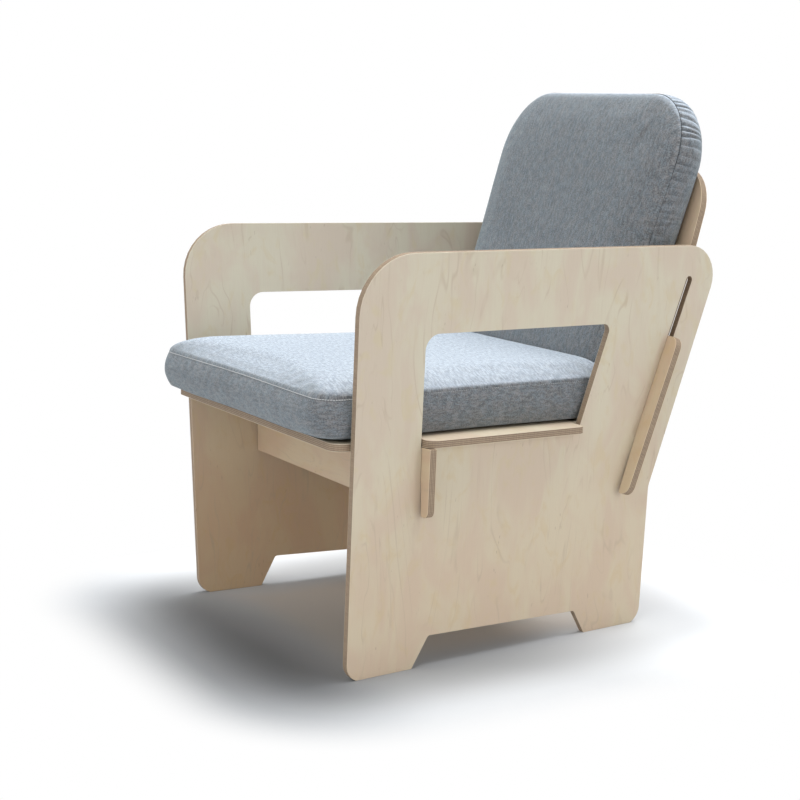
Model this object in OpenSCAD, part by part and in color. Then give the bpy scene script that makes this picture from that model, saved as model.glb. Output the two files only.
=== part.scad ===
// Knock-down plywood lounge chair with two loose cushions, in millimetres.
// The sitter faces -Y and +X is the sitter's left. The origin is on the floor, under the middle
// of the chair's bounding box. In the notes below, y counts from the side panels' front edge.

/* [Plywood] */
// Thickness of every board
ply = 12; // [9:0.5:15]
// Play on each side of a board in its slot
slot_play = 0.25; // [0.15:0.05:0.6]
// Play between a board and what it rests on
rest_play = 0.3; // [0.1:0.05:0.6]

/* [Stance] */
// Width over the side panels' outer faces, half way up and half way back
stance_w = 570; // [540:5:640]
// Outward lean of each side panel, in degrees
splay = 4.3; // [0:0.1:6]
// Turn of each side panel towards the middle at the rear, in degrees
toe_in = 3.9; // [0:0.1:5]
// Height at which the width is taken
stance_z = 285; // [260:5:310]
// Distance behind the front edge at which the width is taken
stance_y = 283; // [260:5:310]

/* [Side panel] */
// Height of the arm's upper edge at its front end
arm_h = 650; // [610:5:700]
// Depth of a side panel at the floor
base_d = 575.5; // [560:5:620]
// Fall of the arm, the seat and the foot cut-out towards the rear, in degrees
fall = 1.65; // [0:0.05:3]
// Backward rake of the panel's rear edge, in degrees
rear_rake = 17.6; // [14:0.1:20]
// Height of the waist, where the rear edge starts to rake
waist_z = 235; // [200:5:260]
// Width of the front post
post_w = 117.5; // [100:0.5:130]
// Depth of the arm above the window
arm_d = 121.5; // [90:0.5:135]
// Width of the raked rear post, measured level
rear_post_w = 192; // [180:1:205]
// Radius of the arm's front corner
arm_front_r = 90; // [40:5:110]
// Radius of the arm's rear corner
arm_rear_r = 55; // [20:5:60]
// Radius of the feet's outer corners
foot_r = 29; // [10:1:35]
// Radius of the bend at the waist
waist_r = 30; // [15:5:60]
// Radius of the window's upper front corner
window_front_r = 25; // [10:1:35]
// Radius of the window's upper rear corner
window_rear_r = 11; // [5:1:20]

/* [Feet] */
// Width of each foot at the floor
foot_w = 116.5; // [90:0.5:130]
// Height of the cut-out between the feet, at its front end
foot_gap_h = 49; // [30:1:70]
// Slant of the cut-out's ends, in degrees from upright
foot_slant = 30; // [15:1:40]
// Radius of the cut-out's upper corners
foot_gap_r = 6; // [2:1:15]

/* [Seat board] */
// Height of the windows' lower edge, continued to the panels' front edge
seat_h = 356.8; // [330:0.2:380]
// Reach of the board in front of the side panels
lip = 26; // [10:1:40]
// Radius of the board's front corners
lip_r = 22; // [8:1:35]
// Gap between the board's edges and the side panels
side_gap = 1.5; // [1:0.5:4]
// Reach of each tab outside its side panel
tab_out = 22; // [12:1:30]
// Radius of the tabs' front corners
tab_front_r = 18; // [5:1:20]
// Radius of the tabs' rear corners
tab_rear_r = 9; // [3:1:12]
// Play in front of and behind each tab in its window
tab_play = 2; // [1.5:0.5:4]
// Gap between the board's rear edge and the back board
rear_gap = 1; // [0.5:0.5:3]

/* [Front rail] */
// Height of the rail
rail_h = 107.5; // [80:0.5:130]
// Height of the halved joint, measured down from the rail's top
lap_h = 54; // [35:1:65]
// Reach of each hooked end outside its side panel
hook_out = 24; // [14:1:30]
// Radius of the hooks' lower outer corners
hook_r = 13; // [4:1:14]
// Play on each side of a panel in a board's notch
notch_play = 0.4; // [0.2:0.1:1.5]

/* [Back board] */
// Lean of the board, in degrees from upright
recline = 19; // [16:0.1:22]
// Distance at the floor from the panels' rear edge to the board's face, taken down its slope
slot_set = 149.3; // [135:0.1:165]
back_y = base_d - slot_set;
// Length from the floor to the board's top edge, measured up its slope
back_top = 798; // [760:1:830]
// Gap between the board and each side panel above the ears
back_gap = 1.5; // [1:0.5:12]
// Draw-in of each side edge from the slots' upper ends to the board's top
back_taper = 7; // [0:0.5:15]
// Radius of the board's top corners
back_r = 80; // [30:5:110]
// Reach of each ear outside its side panel. Its outer edge is parallel to the panel
ear_out = 27.2; // [18:0.1:34]
// Length from the floor to the bottom of the slots, measured up the slope
slot_low = 341; // [320:1:360]
// Length of each ear above the bottom of its slot
ear_up = 173; // [120:1:180]
// Radius of the ears' outer corners
ear_r = 17; // [5:1:18]
// Length of each ear's hook, below the bottom of its slot
ear_hook = 94; // [60:1:100]

/* [Seat cushion] */
// Reach of the cushion's front seam in front of the side panels
cushion_lip = 45; // [25:1:60]
// Height of the upper seam above the board
seat_seam = 65; // [45:1:80]
// Rise of the crown above the upper seam
seat_crown = 26; // [10:1:35]
// Radius of the front corners
seat_front_r = 42; // [20:1:60]
// Radius of the rear corners
seat_rear_r = 30; // [15:1:45]
// Gap between the cushion's rear seam and the back board
seat_rear_gap = 6; // [5.5:0.5:20]

/* [Back cushion] */
// Gap between the cushion and each side panel
pad_side_gap = 3.5; // [1:0.5:20]
// Length from the floor to the top seam, measured up the slope
pad_top = 897; // [850:1:940]
// Length of the cushion before the seat cushion flattens its lower end
pad_l = 500; // [480:1:530]
// Distance from the cushion's back to its front seam
pad_seam = 64; // [45:1:75]
// Rise of the crown above the front seam
pad_crown = 26; // [10:1:35]
// Radius of the top corners
pad_top_r = 112; // [60:1:140]
// Radius of the bottom corners
pad_low_r = 40; // [15:1:60]

/* [Cushion make-up] */
// Height of the lower seam above the face that a cushion lies on
low_seam = 5; // [3:0.5:8]
// Swell of the side strip between its two seams
swell = 5; // [2:0.5:7]
// Draw-in of a side, half way between its corners
draw_in = 6; // [0:0.5:10]
// Thickness of the sewn cover
cloth_t = 1.2; // [0.8:0.1:2]
// Thickness of the wadding at its thinnest
wadding_t = 5; // [3:0.5:8]
// Gap between one layer and the next, and between a cushion and its neighbour
soft_gap = 0.4; // [0.3:0.05:1]

/* [Zips] */
// Length of the seat cover's zip
seat_zip_l = 420; // [200:5:440]
// Length of the back cover's zip
pad_zip_l = 380; // [200:5:400]
// Width of a closed zip
zip_w = 9; // [6:0.5:10]
// Thickness of a closed zip
zip_t = 1.6; // [1:0.1:2.5]
// Length of a slider's body
slider_l = 9; // [6:0.5:12]
// Length of a slider's pull
pull_l = 24; // [15:1:30]
// Thickness of a slider's body
slider_t = 2.6; // [1.8:0.1:3]
// Distance from the back board to the middle of the back cover's zip
pad_zip_w = 19; // [15:0.5:22]

/* [Hidden] */

birch = [0.86, 0.79, 0.66];
fabric = [0.56, 0.59, 0.63];
wadding_white = [0.94, 0.94, 0.92];
foam_cream = [0.93, 0.87, 0.62];
zip_grey = [0.42, 0.44, 0.47];
steel = [0.7, 0.7, 0.72];

// Steps in a rounded corner of a board, and in a corner and a side of a cushion
corner_steps = 10;
pad_corner_steps = 4;
pad_side_steps = 4;
// Half the side of a block that cuts everything on one side of a plane
far = 600;

// Outer face of the left side panel: its distance from the middle plane at a depth y and a height z
function outer_x(y, z) =
    stance_w / 2 - tan(toe_in) * (y - stance_y) + tan(splay) / cos(toe_in) * (z - stance_z);
function inner_x(y, z) = outer_x(y, z) - ply / (cos(splay) * cos(toe_in));

// Outlines are lists of corners, each with its place and its radius
function unit(v) = v / norm(v);
function turn_sign(a, b, c) = sign((b[0] - a[0]) * (c[1] - b[1]) - (b[1] - a[1]) * (c[0] - b[0]));
function flat(p) = [p[0], p[1]];
// The arc of radius b[2] in the corner b between a and c, as n + 1 points, each with its direction
// from the arc's centre
function corner_arc(a, b, c, n) =
    let (u = unit(flat(a - b)), w = unit(flat(c - b)), half = acos(u * w) / 2,
         mid = flat(b) + unit(u + w) * b[2] / sin(half),
         from = flat(b) + u * b[2] / tan(half) - mid,
         start = atan2(from[1], from[0]),
         turn = turn_sign(a, b, c) * (180 - 2 * half))
    [for (i = [0:n]) let (dir = [cos(start + turn * i / n), sin(start + turn * i / n)])
        [mid + b[2] * dir, dir]];
function rounded(corners) =
    let (n = len(corners))
    [for (i = [0:n - 1]) let (b = corners[i])
        each b[2] > 0
            ? [for (p = corner_arc(corners[(i + n - 1) % n], b, corners[(i + 1) % n], corner_steps)) p[0]]
            : [flat(b)]];
// The right half of a symmetrical outline, listed from front to rear, closed by its mirror image
function both_sides(half) =
    concat(half, [for (i = [len(half) - 1:-1:0]) [-half[i][0], half[i][1], half[i][2]]]);

// Side panel, in its own plane: a runs back from the front edge and b runs up its outer face. The
// soles start below the floor and are trimmed level with it
base_b = -3;
function level(b, a) = b - a * tan(fall);
function rear_a(b) = base_d + (b - waist_z) * tan(rear_rake);
// Height at which a level line from b at the front edge meets the rear edge moved forward by shift
function meet_rear(b, shift) =
    (b - tan(fall) * (rear_a(0) - shift)) / (1 + tan(fall) * tan(rear_rake));
// Height on the outer face of an edge whose inner arris has the height z
function arris_b(z) = stance_z + (z - stance_z - ply * sin(splay)) / cos(splay);
arm_rear_b = meet_rear(arm_h, 0);
window_top = arm_h - arm_d;
window_low = arris_b(seat_h);
window_top_b = meet_rear(window_top, rear_post_w);
window_low_b = meet_rear(window_low, rear_post_w);
gap_front = foot_w + (foot_gap_h - base_b) * tan(foot_slant);
gap_rear = (base_d - foot_w - (foot_gap_h + gap_front * tan(fall) - base_b) * tan(foot_slant))
    / (1 - tan(fall) * tan(foot_slant));

panel_outline = rounded([
    [0, base_b, foot_r],
    [foot_w, base_b, 0],
    [gap_front, foot_gap_h, foot_gap_r],
    [gap_rear, foot_gap_h - (gap_rear - gap_front) * tan(fall), foot_gap_r],
    [base_d - foot_w, base_b, 0],
    [base_d, base_b, foot_r],
    [base_d, waist_z, waist_r],
    [rear_a(arm_rear_b), arm_rear_b, arm_rear_r],
    [0, arm_h, arm_front_r]]);
window_outline = rounded([
    [post_w, level(window_low, post_w), 0],
    [rear_a(window_low_b) - rear_post_w, window_low_b, 4],
    [rear_a(window_top_b) - rear_post_w, window_top_b, window_rear_r],
    [post_w, level(window_top, post_w), window_front_r]]);

// Front rail, upright behind the front posts
rail_y = post_w + tab_play;
rail_top = level(seat_h, rail_y + ply) - rest_play;
rail_low = rail_top - rail_h;
lap_z = rail_top - lap_h;
notch_out = outer_x(rail_y, lap_z) + notch_play;
notch_in = inner_x(rail_y + ply, rail_low) - notch_play;

// Seat board and seat cushion, in a frame that tips back with the fall: s runs back, h runs up
function seat_y(s, h) = s * cos(fall) + h * sin(fall);
function seat_z(s, h) = seat_h - s * sin(fall) + h * cos(fall);
function seat_inner(s, h) = inner_x(seat_y(s, h), seat_z(s, h));
function seat_outer(s, h) = outer_x(seat_y(s, h), seat_z(s, h));
// Where the face of the back board crosses a height h above the seat board's underside
function back_s(h) =
    (back_y + tan(recline) * (seat_h + h * cos(fall)) - h * sin(fall))
    / (cos(fall) + tan(recline) * sin(fall));
tab_front = post_w + tab_play;
tab_rear = rear_a(window_low_b) - rear_post_w - tab_play - ply * tan(toe_in);
board_rear = back_s(0) - rear_gap;
seat_outline = rounded(both_sides([
    [seat_inner(-lip, 0) - side_gap, -lip, lip_r],
    [seat_inner(tab_front, 0) - side_gap, tab_front, 0],
    [seat_outer(tab_front, 0) + tab_out, tab_front, tab_front_r],
    [seat_outer(tab_rear, 0) + tab_out, tab_rear, tab_rear_r],
    [seat_inner(tab_rear, 0) - side_gap, tab_rear, 0],
    [seat_inner(board_rear, 0) - side_gap, board_rear, 0]]));

// Back board and back cushion, in the board's frame: v runs up the slope, w runs forward
function back_inner(v, w) = inner_x(back_y + v * sin(recline) - w * cos(recline),
                                    v * cos(recline) + w * sin(recline));
function back_outer(v, w) = back_inner(v, w) + ply / (cos(splay) * cos(toe_in));
ear_low = slot_low - ear_hook;
ear_top = slot_low + ear_up;
slot_w = ply + 2 * slot_play;
slot_top = ear_top + ear_hook + 2 + slot_w / 2;
ear_notch_out = back_outer(slot_low, 0) + notch_play;
ear_notch_in = back_inner(ear_low, -ply) - notch_play;
back_side = back_inner(ear_top, -ply) - back_gap;
back_flank = back_inner(slot_top, -ply) - back_gap;
back_outline = rounded(both_sides([
    [ear_notch_in, ear_low, 0],
    [ear_notch_in, slot_low, 0],
    [ear_notch_out, slot_low, 0],
    [ear_notch_out, ear_low, 3],
    [back_outer(ear_low, 0) + ear_out, ear_low, ear_r],
    [back_outer(ear_top, 0) + ear_out, ear_top, ear_r],
    [back_side, ear_top, 3],
    [back_flank, slot_top, 40],
    [back_flank - back_taper, back_top, back_r]]));

// Cushion outline: for each point its place and its outward direction. The corners are arcs, and
// the side after each corner is drawn in by the corner's last value along a parabola
function pad_outline(corners, shrink) =
    let (n = len(corners),
         arcs = [for (i = [0:n - 1])
             corner_arc(corners[(i + n - 1) % n], corners[i], corners[(i + 1) % n], pad_corner_steps)])
    [for (i = [0:n - 1])
        let (p = arcs[i][pad_corner_steps][0], q = arcs[(i + 1) % n][0][0], draw = corners[i][3],
             out = [q[1] - p[1], p[0] - q[0]] / norm(q - p))
        each concat(
            [for (k = arcs[i]) [k[0] - k[1] * shrink, k[1]]],
            [for (j = [1:pad_side_steps - 1]) let (t = j / pad_side_steps)
                [p + (q - p) * t - out * (shrink + draw * 4 * t * (1 - t)), out]])];

// Rings of a cushion, from the middle of its flat face round to the top of its crown. Each entry
// gives the share of the outline's reach, the swell beyond it and the height
function crown_h(share) = sqrt(1 - pow(share, 6));
function pad_profile(seam, crown, inset) =
    let (low_edge = low_seam + 0.3 * inset, high_edge = seam - 0.3 * inset)
    concat(
        [[0, 0, inset], [0.9, 0, inset], [0.985, 0, inset + 1]],
        [for (t = [0, 0.2, 0.5, 0.8, 1])
            [1, swell * sin(180 * t), low_edge + (high_edge - low_edge) * t]],
        [for (share = [0.99, 0.955, 0.9, 0.8, 0.62, 0.36, 0])
            [share, 0, high_edge + (crown - 0.7 * inset) * crown_h(share)]]);
function pad_points(outline, middle, profile) =
    let (last = len(profile) - 1)
    concat(
        [[middle[0], middle[1], profile[0][2]]],
        [for (i = [1:last - 1]) for (p = outline)
            let (at = middle + (p[0] - middle) * profile[i][0] + p[1] * profile[i][1])
            [at[0], at[1], profile[i][2]]],
        [[middle[0], middle[1], profile[last][2]]]);
function pad_faces(n, rings) =
    let (top = 1 + rings * n)
    concat(
        [for (j = [0:n - 1]) [0, 1 + j, 1 + (j + 1) % n]],
        [for (i = [0:rings - 2]) for (j = [0:n - 1])
            let (a = 1 + i * n + j, b = 1 + i * n + (j + 1) % n)
            each [[a, a + n, b + n], [a, b + n, b]]],
        [for (j = [0:n - 1]) [top, top - n + (j + 1) % n, top - n + j]]);
module pad_solid(points) {
    n = 4 * (pad_corner_steps + pad_side_steps);
    polyhedron(points, pad_faces(n, (len(points) - 2) / n));
}

// Seat cushion, on the seat board
seat_pad_h = ply + rest_play + soft_gap;
seat_front_s = -cushion_lip;
seat_rear_s = back_s(ply) - seat_rear_gap;
seat_middle = [0, (seat_front_s + seat_rear_s) / 2];
function seat_side(s) = seat_inner(s, ply) - swell - 2 * soft_gap;
seat_corners = [
    [-seat_side(seat_front_s), seat_front_s, seat_front_r, draw_in],
    [seat_side(seat_front_s), seat_front_s, seat_front_r, draw_in],
    [seat_side(seat_rear_s), seat_rear_s, seat_rear_r, 0],
    [-seat_side(seat_rear_s), seat_rear_s, seat_rear_r, draw_in]];
function seat_layer(inset) =
    pad_points(pad_outline(seat_corners, inset), seat_middle, pad_profile(seat_seam, seat_crown, inset));

// Back cushion, on the back board. A plane at a height h above the seat board's lower face crosses
// the back board's frame in a line, and the cushion's lower end is cut off along such a line, so
// that its front edge just clears the seat cushion
function plane_v(h, w) =
    (seat_h * cos(fall) + h - back_y * sin(fall) - w * sin(recline - fall)) / cos(recline - fall);
pad_middle = [0, pad_top - pad_l / 2];
crown_top_h = seat_pad_h + seat_seam + seat_crown;
pad_edge_share = (pad_middle[1] - plane_v(crown_top_h, pad_seam + pad_crown)) / (pad_l / 2);
pad_edge_w = pad_seam + pad_crown * crown_h(pad_edge_share);
contact_s = back_s(crown_top_h) - pad_edge_w / cos(recline - fall);
contact_share = (contact_s - seat_middle[1]) / (seat_rear_s - seat_middle[1]);
pad_base_h = seat_pad_h + seat_seam + seat_crown * crown_h(contact_share) + soft_gap;
function pad_floor(w) = plane_v(pad_base_h, w + soft_gap);
pad_side = back_inner(pad_floor(0), 0) - pad_side_gap - swell;
pad_corners = [
    [-pad_side, pad_top - pad_l, pad_low_r, 0],
    [pad_side, pad_top - pad_l, pad_low_r, draw_in],
    [pad_side, pad_top, pad_top_r, 0],
    [-pad_side, pad_top, pad_top_r, draw_in]];
function pad_layer(inset) =
    pad_points(pad_outline(pad_corners, inset), pad_middle, pad_profile(pad_seam, pad_crown, inset));

// Depth of the whole chair, from the points of the two cushions that reach furthest
front_y = min([for (p = seat_layer(0)) seat_y(p[1], p[2] + seat_pad_h)]);
rear_y = max([for (p = pad_layer(0)) back_y + p[1] * sin(recline) - (p[2] + soft_gap) * cos(recline)]);
centre_y = (front_y + rear_y) / 2;

module plate(outline) { linear_extrude(ply) polygon(outline); }
module in_frame() { translate([0, -centre_y, 0]) children(); }
module on_seat(h) {
    in_frame() translate([0, 0, seat_h]) rotate([-fall, 0, 0]) translate([0, 0, h]) children();
}
module on_back(w) {
    in_frame() translate([0, back_y, 0]) rotate([90 - recline, 0, 0]) translate([0, 0, w]) children();
}

// Left side panel, stood up, splayed and toed in, then trimmed level with the floor
module side_panel() {
    difference() {
        in_frame() translate([stance_w / 2, stance_y, stance_z]) rotate([0, splay, toe_in])
            translate([-ply, -stance_y, -stance_z]) rotate([90, 0, 90])
                difference() {
                    plate(panel_outline);
                    translate([0, 0, -ply]) linear_extrude(3 * ply) polygon(window_outline);
                }
        translate([-far, -far, -2 * far]) cube(2 * far);
        // Notch for the front rail, open to the window
        in_frame() translate([0, rail_y - slot_play, lap_z - rest_play])
            cube([far, ply + 2 * slot_play, lap_h + 4 * rest_play]);
        // Slot for the back board, with a round upper end
        on_back(-ply - slot_play) {
            translate([0, slot_low - rest_play, 0])
                cube([far, slot_top - slot_w / 2 - slot_low + rest_play, slot_w]);
            translate([0, slot_top - slot_w / 2, slot_w / 2]) rotate([0, 90, 0])
                cylinder(h = far, d = slot_w, $fn = 48);
        }
    }
}

module left_side_panel() { color(birch) side_panel(); }
module right_side_panel() { color(birch) mirror([1, 0, 0]) side_panel(); }

// Front rail: its ends hook over the panels and hang down outside them
module front_rail() {
    outline = rounded(both_sides([
        [notch_in, rail_low, 0],
        [notch_in, lap_z, 0],
        [notch_out, lap_z, 0],
        [notch_out, rail_low, 3],
        [outer_x(rail_y, rail_low) + hook_out, rail_low, hook_r],
        [outer_x(rail_y, rail_top) + hook_out, rail_top, 1.5]]));
    color(birch) in_frame() translate([0, rail_y + ply, 0]) rotate([90, 0, 0]) plate(outline);
}

// Seat board: tabs at its sides rest on the lower edges of the windows
module seat_board() {
    color(birch) on_seat(rest_play) plate(seat_outline);
}

// Back board: ears pass through the slots, and their hooks hang outside the panels
module back_board() {
    color(birch) on_back(-ply) plate(back_outline);
}

// Foam blocks with straight sides, inside the wadding
foam_inset = cloth_t + wadding_t + 2 * soft_gap;
function foam_outline(corners, inset) = [for (p = pad_outline(corners, inset)) p[0]];
module foam_block(corners, seam, inset) {
    translate([0, 0, inset]) linear_extrude(seam - 2 * inset) polygon(foam_outline(corners, inset));
}
// Everything above the plane that flattens the back cushion's lower end
module above_seat(inset) {
    intersection() {
        children();
        translate([-far, pad_floor(0), 0]) rotate([recline - fall, 0, 0])
            translate([0, inset, -far]) cube(2 * far);
    }
}

module seat_cover() {
    color(fabric) on_seat(seat_pad_h) difference() {
        pad_solid(seat_layer(0));
        pad_solid(seat_layer(cloth_t));
    }
}
module seat_wadding() {
    color(wadding_white) on_seat(seat_pad_h) difference() {
        pad_solid(seat_layer(cloth_t + soft_gap));
        foam_block(seat_corners, seat_seam, foam_inset - soft_gap);
    }
}
module seat_foam() {
    color(foam_cream) on_seat(seat_pad_h) foam_block(seat_corners, seat_seam, foam_inset);
}

module back_cover() {
    color(fabric) on_back(soft_gap) difference() {
        above_seat(0) pad_solid(pad_layer(0));
        above_seat(cloth_t) pad_solid(pad_layer(cloth_t));
    }
}
module back_wadding() {
    color(wadding_white) on_back(soft_gap) difference() {
        above_seat(cloth_t + soft_gap) pad_solid(pad_layer(cloth_t + soft_gap));
        above_seat(foam_inset - soft_gap) foam_block(pad_corners, pad_seam, foam_inset - soft_gap);
    }
}
module back_foam() {
    color(foam_cream) on_back(soft_gap)
        above_seat(foam_inset) foam_block(pad_corners, pad_seam, foam_inset);
}

// A closed zip lies in X with its outside facing +Z. Its slider rides on it at the closed end
module zip(length) {
    translate([-length / 2, -zip_w / 2, 0]) cube([length, zip_w, zip_t]);
}
module slider(length) {
    at = -length / 2 + slider_l / 2 + 2;
    translate([at, 0, zip_t + rest_play]) {
        translate([-slider_l / 2, -slider_l / 3, 0]) cube([slider_l, slider_l * 2 / 3, slider_t]);
        translate([0, -1.8, slider_t - 1.2]) cube([pull_l, 3.6, 1.2]);
    }
}
// The seat cover's zip is half way up its rear side strip
module on_seat_zip() {
    on_seat(seat_pad_h) translate([0, seat_rear_s + swell + rest_play, (low_seam + seat_seam) / 2])
        rotate([-90, 0, 0]) children();
}
// The back cover's zip is in its lower side strip, over the space behind the seat cushion
module on_pad_zip() {
    on_back(soft_gap) translate([0, pad_floor(pad_zip_w), pad_zip_w]) rotate([recline - fall, 0, 0])
        translate([0, -rest_play, 0]) rotate([90, 0, 0]) children();
}
module seat_zip() { color(zip_grey) on_seat_zip() zip(seat_zip_l); }
module seat_zip_slider() { color(steel) on_seat_zip() slider(seat_zip_l); }
module back_zip() { color(zip_grey) on_pad_zip() zip(pad_zip_l); }
module back_zip_slider() { color(steel) on_pad_zip() slider(pad_zip_l); }

left_side_panel();
right_side_panel();
front_rail();
seat_board();
back_board();
seat_cover();
seat_wadding();
seat_foam();
seat_zip();
seat_zip_slider();
back_cover();
back_wadding();
back_foam();
back_zip();
back_zip_slider();
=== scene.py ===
import math

import bmesh
import bpy
import numpy as np
from mathutils import Matrix, Vector


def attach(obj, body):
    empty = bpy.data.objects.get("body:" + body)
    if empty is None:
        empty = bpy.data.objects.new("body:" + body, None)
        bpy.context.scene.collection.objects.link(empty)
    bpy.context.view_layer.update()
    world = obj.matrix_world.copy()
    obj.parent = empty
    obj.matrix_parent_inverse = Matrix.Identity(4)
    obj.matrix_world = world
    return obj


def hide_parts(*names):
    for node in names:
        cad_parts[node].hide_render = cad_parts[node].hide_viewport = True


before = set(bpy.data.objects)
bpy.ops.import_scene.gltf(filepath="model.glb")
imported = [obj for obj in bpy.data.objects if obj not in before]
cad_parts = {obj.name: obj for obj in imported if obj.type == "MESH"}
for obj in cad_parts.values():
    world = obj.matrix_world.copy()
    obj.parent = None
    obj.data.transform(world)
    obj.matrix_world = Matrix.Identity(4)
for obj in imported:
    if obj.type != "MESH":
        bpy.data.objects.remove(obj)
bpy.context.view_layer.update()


# Camera: a long lens a little above arm height, looking at the chair's left side from the front.
def placed(name, data):
    """An object with that name and data, in the scene."""
    thing = bpy.data.objects.new(name, data)
    bpy.context.scene.collection.objects.link(thing)
    return thing


camera_data = bpy.data.cameras.new("camera")
camera_data.sensor_width = 36.0
camera_data.lens = 80.32
camera = placed("camera", camera_data)
camera.location = (2.5584, -1.5310, 0.8864)
camera.rotation_euler = (math.radians(79.98), 0.0, math.radians(60.46))
bpy.context.scene.camera = camera
bpy.context.scene.view_settings.view_transform = "Standard"


# Light: an even white room, a broad lamp high behind the chair that throws its shadow forwards, a
# lamp beside its rear left corner, and a wide one that fills in from the front.
def add_node(tree, kind, values=None, **settings):
    """A node of that kind. A value that is a socket is linked, any other is set on the input."""
    node = tree.nodes.new(kind)
    for key, value in settings.items():
        setattr(node, key, value)
    for key, value in (values or {}).items():
        if isinstance(value, bpy.types.NodeSocket):
            tree.links.new(value, node.inputs[key])
        else:
            node.inputs[key].default_value = value
    return node


def math_node(tree, operation, *values, **settings):
    """The result of an operation on numbers."""
    return add_node(tree, "ShaderNodeMath", dict(enumerate(values)), operation=operation,
                    **settings).outputs[0]


def span(tree, value, low, high, to_low=0.0, to_high=1.0, course="SMOOTHSTEP"):
    """A value carried from one span to another, easing in and out unless its course is LINEAR."""
    return add_node(tree, "ShaderNodeMapRange", {
        "Value": value, "From Min": low, "From Max": high, "To Min": to_low, "To Max": to_high},
        interpolation_type=course).outputs[0]


def seen_directly(tree):
    """1 for what the camera sees, also in a gloss or through something clear, and 0 for light."""
    rays = add_node(tree, "ShaderNodeLightPath").outputs
    seen = math_node(tree, "MAXIMUM", rays["Is Camera Ray"], rays["Is Glossy Ray"])
    return math_node(tree, "MAXIMUM", seen, rays["Is Transmission Ray"])


room = bpy.data.worlds.new("room")
room.use_nodes = True
bpy.context.scene.world = room
tree = room.node_tree
tree.nodes.clear()
room_light = 0.30
strength = span(tree, seen_directly(tree), 0.0, 1.0, room_light, 1.0, "LINEAR")
glow = add_node(tree, "ShaderNodeBackground", {"Color": (1.0, 1.0, 1.0, 1.0),
                                               "Strength": strength})
add_node(tree, "ShaderNodeOutputWorld", {"Surface": glow.outputs[0]})


def lamp(name, towards, strength, width):
    """A distant lamp that shines along a direction, with that strength and angular width."""
    data = bpy.data.lights.new(name, "SUN")
    data.energy = strength
    data.angle = math.radians(width)
    placed(name, data).rotation_euler = Vector(towards).to_track_quat("-Z", "Y").to_euler()


lamp("overhead_lamp", (0.03, -0.33, -1.0), 3.05, 44)
lamp("side_lamp", (-1.0, -0.45, -0.35), 0.585, 26)
lamp("front_fill", (-0.15, 0.82, -0.76), 1.13, 66)


# Floor: a pale grey sheet that carries the soft shadow, and fades to white with the distance from
# the box that the chair stands in. Its grey also holds painted shade: darker round the box and in
# an oval in front of the chair, lighter towards the rear, and a painted warm bounce between the
# panels.
def vector_node(tree, operation, *values):
    """The result of an operation on vectors: a length or a dot product, or else a vector."""
    node = add_node(tree, "ShaderNodeVectorMath", dict(enumerate(values)), operation=operation)
    return node.outputs["Value" if operation in ("LENGTH", "DOT_PRODUCT") else "Vector"]


def mix(tree, share, first, second, blend="MIX"):
    """Two colours mixed by a share. Each is a socket, or its red, green and blue."""
    first, second = (colour if isinstance(colour, bpy.types.NodeSocket) else (*colour, 1.0)
                     for colour in (first, second))
    return add_node(tree, "ShaderNodeMix", {0: share, 6: first, 7: second}, data_type="RGBA",
                    blend_type=blend).outputs[2]


def new_material(name):
    """A material without nodes, and its node tree."""
    material = bpy.data.materials.new(name)
    material.use_nodes = True
    material.node_tree.nodes.clear()
    return material, material.node_tree


def show(tree, shader):
    """Makes a shader the material's surface."""
    add_node(tree, "ShaderNodeOutputMaterial", {"Surface": shader.outputs[0]})


floor_mesh = bpy.data.meshes.new("floor")
floor_mesh.from_pydata([(-9, -9, 0), (9, -9, 0), (9, 9, 0), (-9, 9, 0)], [], [(0, 1, 2, 3)])
floor = placed("floor", floor_mesh)
paper, tree = new_material("floor_paper")
place = add_node(tree, "ShaderNodeTexCoord").outputs["Object"]
box_middle, box_half = (0.0, -0.03, 0.0), (0.26, 0.29, 0.0)
past = vector_node(tree, "ABSOLUTE", vector_node(tree, "SUBTRACT", place, box_middle))
past = vector_node(tree, "SUBTRACT", past, box_half)
off = vector_node(tree, "LENGTH", vector_node(tree, "MAXIMUM", past, (0.0, 0.0, 0.0)))
fade = span(tree, off, 0.17, 0.32)
# Painted shade: the paper's tone is darker just round the box, where the chair shades it, and
# lighter towards the rear, where its shadow does not reach
away = span(tree, off, 0.05, 0.20, 0.39, 0.61)
along = vector_node(tree, "DOT_PRODUCT", place, (-0.6, 1.0, 0.0))
tone = math_node(tree, "ADD", away, span(tree, along, -0.30, 0.08, 0.0, 0.28))
# Painted shadow: the paper is darker in an oval in front of the chair, where its shadow falls
painted_shadow_oval = vector_node(tree, "MULTIPLY_ADD", place, (3.02, 6.49, 0.0), (-0.378, 3.15, 0.0))
painted_shadow_oval = span(tree, vector_node(tree, "LENGTH", painted_shadow_oval), 0.0, 1.8, 0.28, 0.0)
tone = math_node(tree, "SUBTRACT", tone, painted_shadow_oval, use_clamp=True)
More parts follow.
